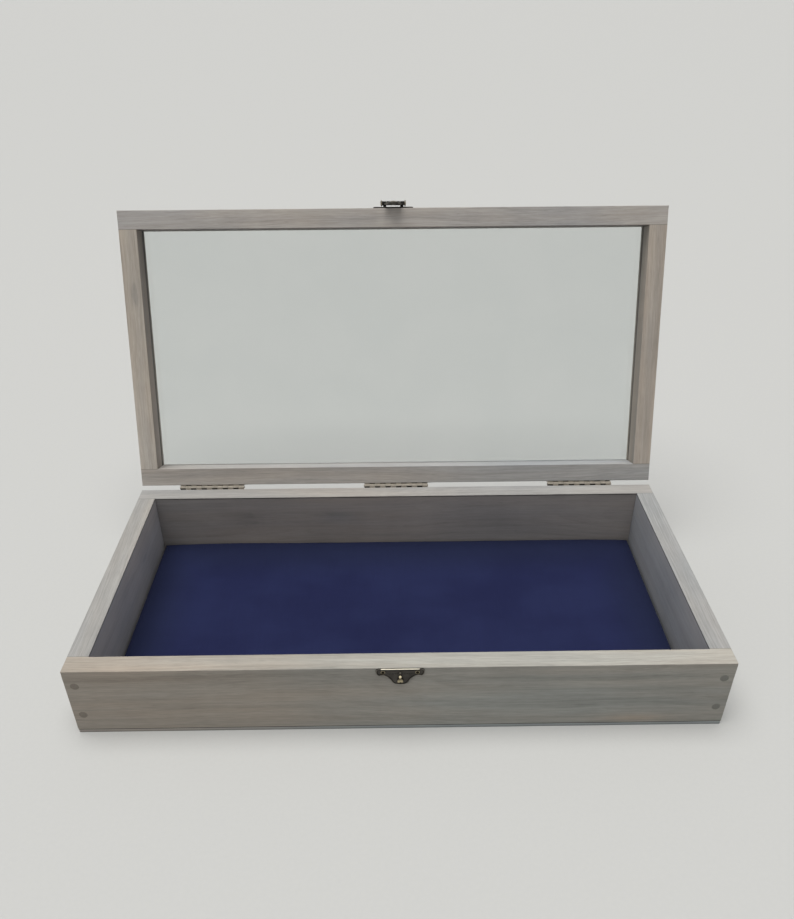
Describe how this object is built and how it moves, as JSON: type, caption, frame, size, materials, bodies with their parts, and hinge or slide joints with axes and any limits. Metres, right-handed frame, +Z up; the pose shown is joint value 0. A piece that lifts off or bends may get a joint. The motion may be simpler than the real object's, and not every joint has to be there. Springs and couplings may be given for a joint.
{
  "type": "fishing lure display case",
  "caption": "Shallow wooden display case with a hinged glazed lid, brass butt hinges, a hasp and catch, and a cloth-covered pad.",
  "frame": {"origin": "centre of the case's underside, on the surface it rests on", "axes": "+X to the right along the case's width, +Y to the hinged rear, +Z up; the lid stands open at 109 degrees at rest"},
  "size_m": [0.61, 0.4503, 0.3865],
  "materials": {
    "stained_wood_base": "weathered-grey stain, thin matte coat",
    "stained_wood_lid": "weathered-grey stain, thin matte coat",
    "dowel_end_grain": "end grain, stained",
    "bottom_ply": "stained plywood",
    "bright_steel": "bright wire",
    "fibre_board": "raw hardboard",
    "foam": "foam sheet",
    "navy_cloth": "plain-weave cotton, matte",
    "clear_glass": "clear, thin",
    "antique_brass": "antiqued, darkened recesses",
    "dark_bronze": "dark bronze, worn bright edges",
    "worn_brass": "antiqued brass, worn"
  },
  "bodies": {
    "base": {"base_front_board": "stained_wood_base", "base_rear_board": "stained_wood_base", "base_left_board": "stained_wood_base", "base_right_board": "stained_wood_base", "bottom_panel": "bottom_ply", "bottom_panel_brads": "bright_steel", "base_corner_dowels": "dowel_end_grain", "pad_board": "fibre_board", "pad_foam": "foam", "pad_cover": "navy_cloth", "hinge_lower_leaf_left": "antique_brass", "hinge_lower_leaf_centre": "antique_brass", "hinge_lower_leaf_right": "antique_brass", "hinge_pin_left": "antique_brass", "hinge_pin_centre": "antique_brass", "hinge_pin_right": "antique_brass", "hinge_lower_screws": "antique_brass", "catch_plate": "dark_bronze", "catch_hook": "worn_brass", "catch_plate_pins": "worn_brass"},
    "lid": {"lid_front_rail": "stained_wood_lid", "lid_rear_rail": "stained_wood_lid", "lid_left_stile": "stained_wood_lid", "lid_right_stile": "stained_wood_lid", "lid_glass": "clear_glass", "lid_corner_dowels": "dowel_end_grain", "hinge_upper_leaf_left": "antique_brass", "hinge_upper_leaf_centre": "antique_brass", "hinge_upper_leaf_right": "antique_brass", "hinge_upper_screws": "antique_brass", "latch_plate": "dark_bronze", "latch_plate_pins": "worn_brass", "latch_pin": "worn_brass"},
    "hasp": {"latch_hasp": "dark_bronze"}
  },
  "joints": [
    {"name": "lid_hinge", "type": "hinge", "parent": "base", "child": "lid", "pos_m": [0, 0.1583, 0.0786], "axis": [-1, 0, 0], "range_deg": [-109, 71]},
    {"name": "hasp_hinge", "type": "hinge", "parent": "lid", "child": "hasp", "pos_m": [0, 0.26514, 0.37845], "axis": [-1, 0, 0], "range_deg": [0, 165]}
  ]
}
